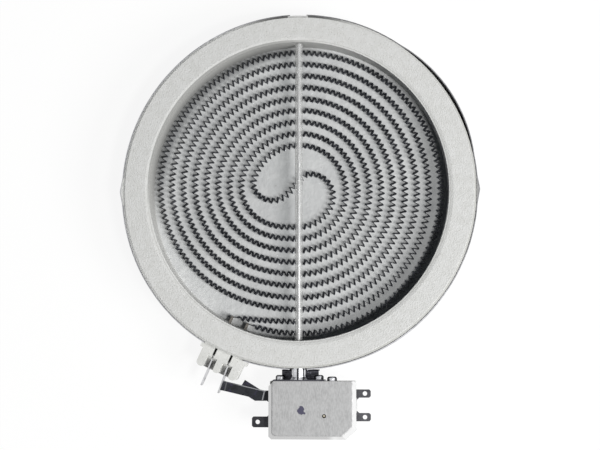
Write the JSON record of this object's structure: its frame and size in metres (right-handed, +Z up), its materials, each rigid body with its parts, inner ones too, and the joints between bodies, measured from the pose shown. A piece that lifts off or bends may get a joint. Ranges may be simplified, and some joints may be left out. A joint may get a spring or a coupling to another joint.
{
  "type": "radiant hot plate burner",
  "caption": "Round radiant heating element for a glass hob: steel pan, insulation, spiral of corrugated resistance strip, and a quartz-tube temperature limiter with its switch head.",
  "frame": {"origin": "centre of the pan's flat bottom", "axes": "+Z up to the glass, +Y from the limiter head to the tube's far end, +X to the right of the picture"},
  "size_m": [0.2124, 0.2501, 0.033],
  "materials": {
    "pan_steel": "thin aluminised steel sheet, satin",
    "base_insulation": "pressed microporous powder, matt and chalky",
    "ring_insulation": "pressed vermiculite, matt with a fine speckle",
    "resistance_alloy": "oxidised dark resistance alloy strip",
    "block_ceramic": "unglazed steatite",
    "blade_steel": "nickel-plated steel, dulled",
    "quartz": "clear fused quartz",
    "rod_alloy": "drawn alloy wire",
    "bright_steel": "zinc-plated steel",
    "bracket_steel": "dull plated sheet",
    "cover_steel": "tinned sheet with a soft mottle",
    "link_steel": "blued steel strip with a heat tint",
    "contact_silver": "silver contact rivet",
    "brass": "spring brass"
  },
  "bodies": {
    "heater_frame": {"pan": "pan_steel", "insulation_base": "base_insulation", "insulation_ring": "ring_insulation", "heating_strip": "resistance_alloy", "terminal_block": "block_ceramic", "terminal_blade_left": "blade_steel", "terminal_blade_right": "blade_steel", "quartz_tube": "quartz", "tube_cap": "rod_alloy", "tube_ferrule": "bright_steel", "limiter_bracket": "bracket_steel", "bracket_rivets": "bright_steel", "bracket_screws": "bright_steel", "adjuster_screw": "bright_steel", "limiter_body": "block_ceramic", "limiter_cover": "cover_steel", "trim_screw": "brass", "power_tab": "blade_steel", "link_arm": "blade_steel", "link_strip": "link_steel", "upper_signal_tab": "blade_steel", "lower_signal_tab": "blade_steel", "power_pivot": "bright_steel", "power_contact_fixed": "contact_silver", "signal_pivot": "bright_steel", "signal_contact_fixed": "contact_silver"},
    "limiter_rod": {"expansion_rod": "rod_alloy", "push_pin": "block_ceramic"},
    "power_lever": {"power_arm": "brass", "power_contact_moving": "contact_silver"},
    "signal_lever": {"signal_arm": "brass", "signal_contact_moving": "contact_silver"}
  },
  "joints": [
    {"name": "rod_growth", "type": "slide", "parent": "heater_frame", "child": "limiter_rod", "axis": [0, -1, 0], "range_m": [0, 0.0013], "stiffness_N_per_m": 60},
    {"name": "power_lever_swing", "type": "hinge", "parent": "heater_frame", "child": "power_lever", "pos_m": [-0.0125, -0.127, 0.0265], "axis": [0, 0, -1], "range_deg": [0, 6.8]},
    {"name": "signal_lever_swing", "type": "hinge", "parent": "heater_frame", "child": "signal_lever", "pos_m": [0.0265, -0.1182, 0.0265], "axis": [0, 0, 1], "range_deg": [0, 3.2]}
  ],
  "couplings": [
    {"joint": "power_lever_swing", "follows": "rod_growth", "rad_per_m": 80},
    {"joint": "signal_lever_swing", "follows": "rod_growth", "rad_per_m": 37.736}
  ]
}
